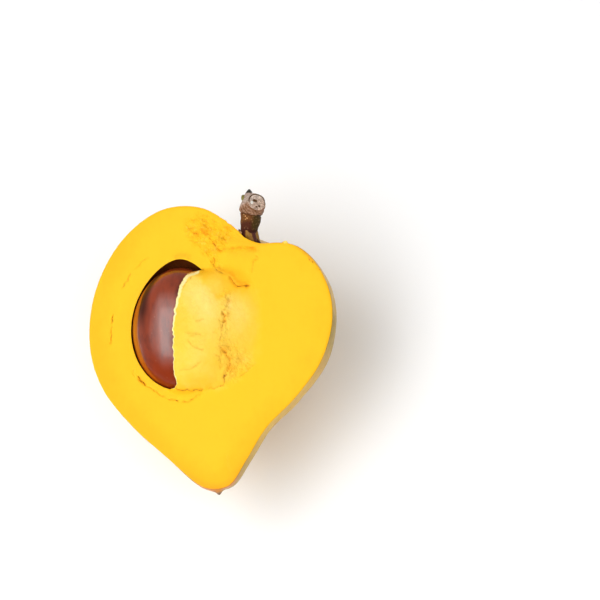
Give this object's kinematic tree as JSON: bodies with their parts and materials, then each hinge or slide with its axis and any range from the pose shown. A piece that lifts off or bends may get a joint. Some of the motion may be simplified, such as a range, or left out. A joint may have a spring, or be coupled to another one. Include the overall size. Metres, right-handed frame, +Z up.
{
  "type": "lucuma, cut open lengthwise",
  "caption": "Heart-shaped ripe lucuma cut open lengthwise, with its glossy seed half bared in its hollow and a short bent woody stem; lies on its rounded back.",
  "frame": {"origin": "middle of the small flat spot on the rounded back that the cut fruit rests on", "axes": "+Z up, out of the cut face but for the tilt of the resting fruit; +Y towards the stem, -Y towards the pointed tip; +X to the right seen from above"},
  "size_m": [0.0808, 0.0961, 0.0587],
  "materials": {
    "flesh": "dense, starchy, bright yellow cut flesh, paler where torn near the seed",
    "skin": "thin waxy skin, golden yellow going to olive green at the tip and the stem",
    "seed_coat": "hard glossy reddish brown seed coat",
    "bark": "rough dark brown bark, pale sawn end"
  },
  "bodies": {
    "root": {"fruit_body": "flesh", "seed": "seed_coat", "stem": "bark"}
  },
  "joints": []
}
